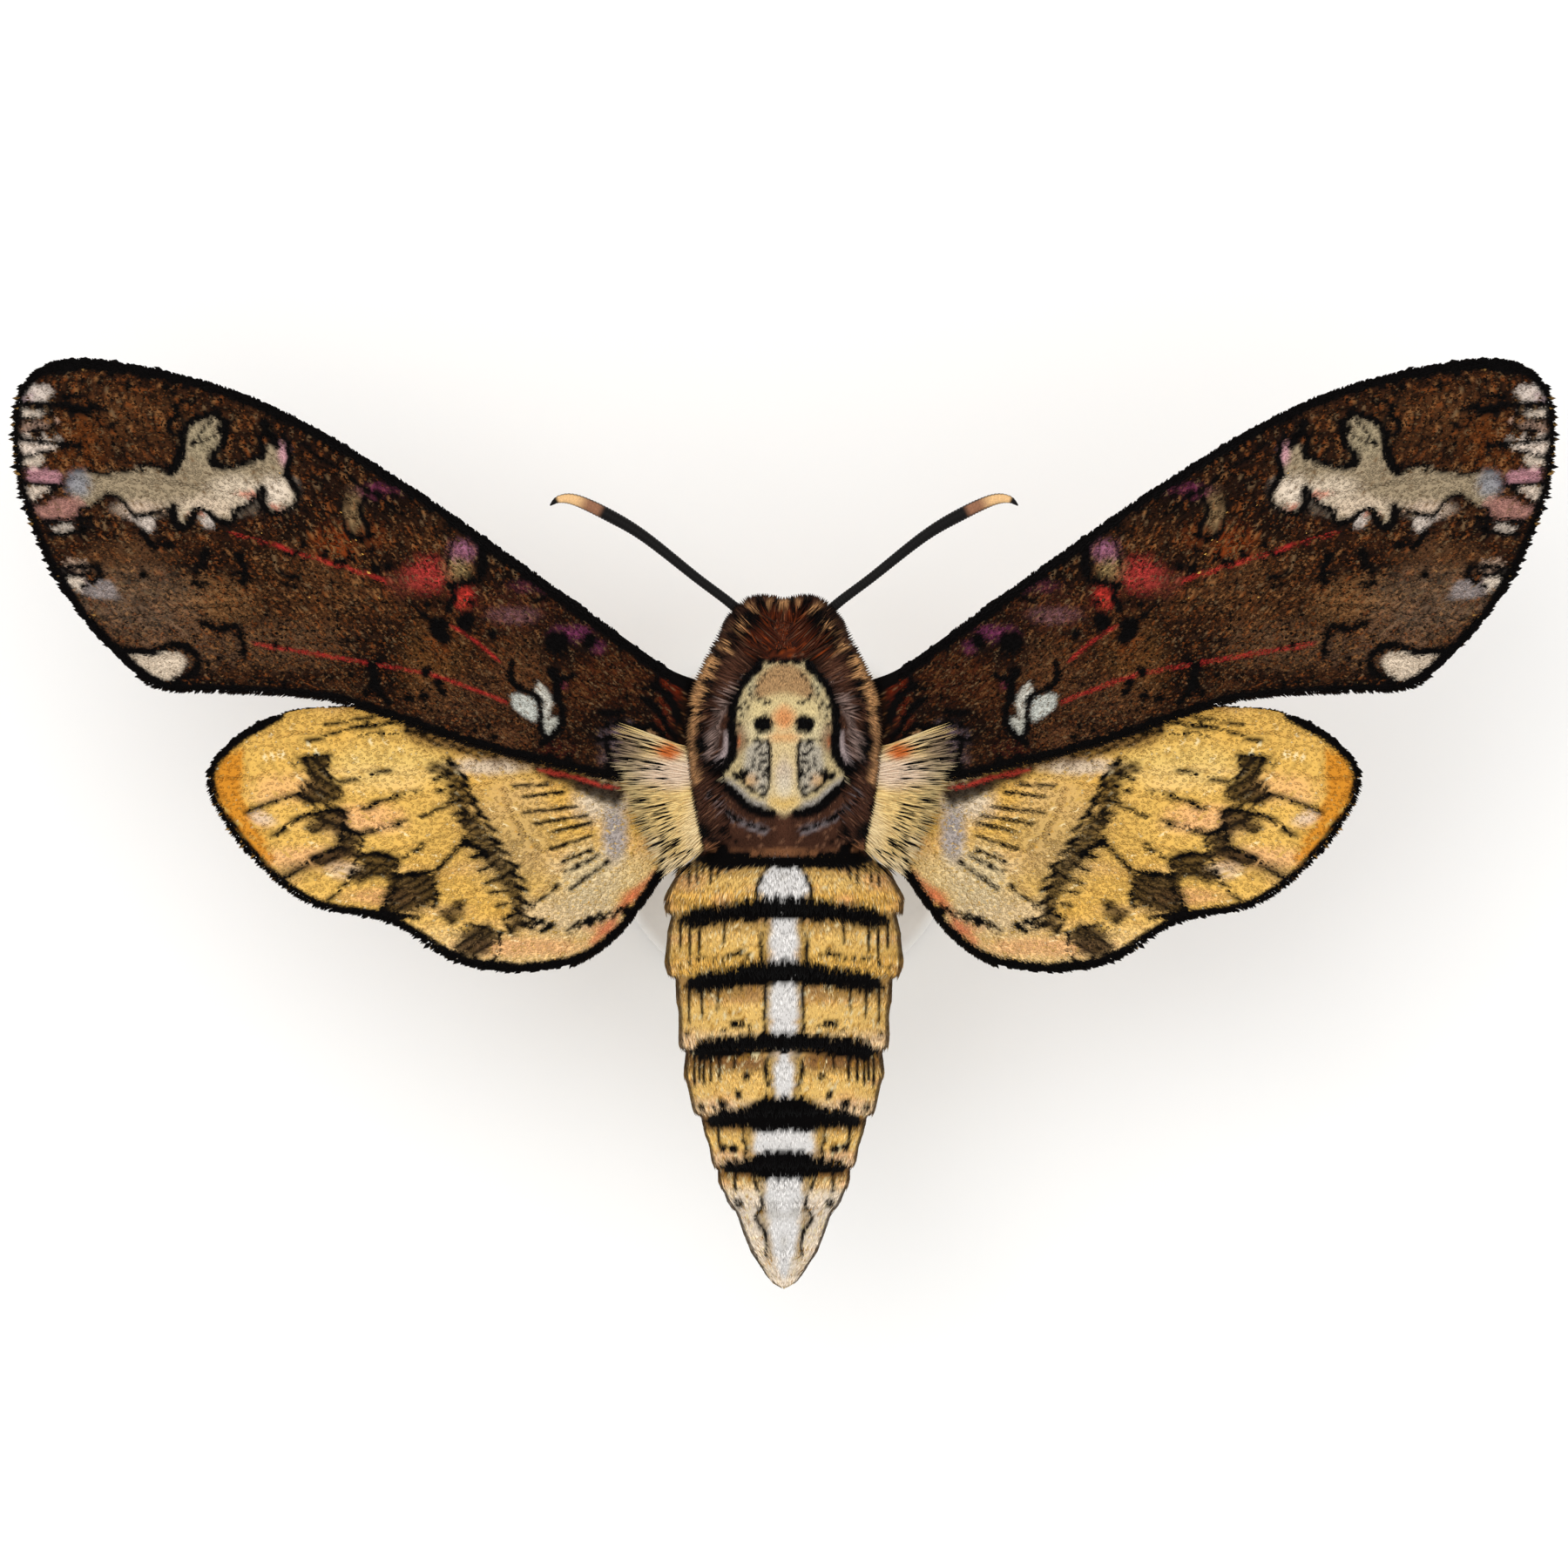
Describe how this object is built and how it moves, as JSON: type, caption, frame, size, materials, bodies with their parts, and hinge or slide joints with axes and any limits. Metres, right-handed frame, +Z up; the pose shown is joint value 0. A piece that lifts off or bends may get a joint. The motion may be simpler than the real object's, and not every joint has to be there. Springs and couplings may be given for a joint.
{
  "type": "lesser death's head hawkmoth model",
  "caption": "Life-size hawkmoth with spread wings, banded abdomen and skull-like thorax mark, held on a small round display stand.",
  "frame": {"origin": "centre of the stand foot's underside, on the surface the part stands on", "axes": "+Y towards the moth's head, +X towards its right side, +Z up"},
  "size_m": [0.11, 0.0666, 0.0376],
  "materials": {
    "body_hair": "dense dark brown hair with a pale skull-like mark",
    "abdomen_hair": "short golden hair with black bands",
    "forewing_scales": "dark brown mottled wing scales",
    "hindwing_scales": "yellow wing scales with brown bands",
    "antenna_cuticle": "dark brown satin cuticle",
    "eye_cuticle": "glossy dark faceted eye",
    "leg_scales": "dark brown scaled legs with pale rings",
    "stand_lacquer": "off-white satin lacquer",
    "stand_steel": "turned stainless steel"
  },
  "bodies": {
    "root": {"head": "body_hair", "eye_left": "eye_cuticle", "eye_right": "eye_cuticle", "palp_left": "body_hair", "palp_right": "body_hair", "tongue": "antenna_cuticle", "antenna_left": "antenna_cuticle", "antenna_right": "antenna_cuticle", "thorax": "body_hair", "forewing_left": "forewing_scales", "forewing_right": "forewing_scales", "hindwing_left": "hindwing_scales", "hindwing_right": "hindwing_scales", "abdomen_1": "abdomen_hair", "abdomen_2": "abdomen_hair", "abdomen_3": "abdomen_hair", "abdomen_4": "abdomen_hair", "abdomen_5": "abdomen_hair", "abdomen_6": "abdomen_hair", "abdomen_7": "abdomen_hair", "leg_front_left": "leg_scales", "leg_front_right": "leg_scales", "leg_mid_left": "leg_scales", "leg_mid_right": "leg_scales", "leg_hind_left": "leg_scales", "leg_hind_right": "leg_scales", "stand_base": "stand_lacquer", "stand_rod": "stand_steel"}
  },
  "joints": []
}
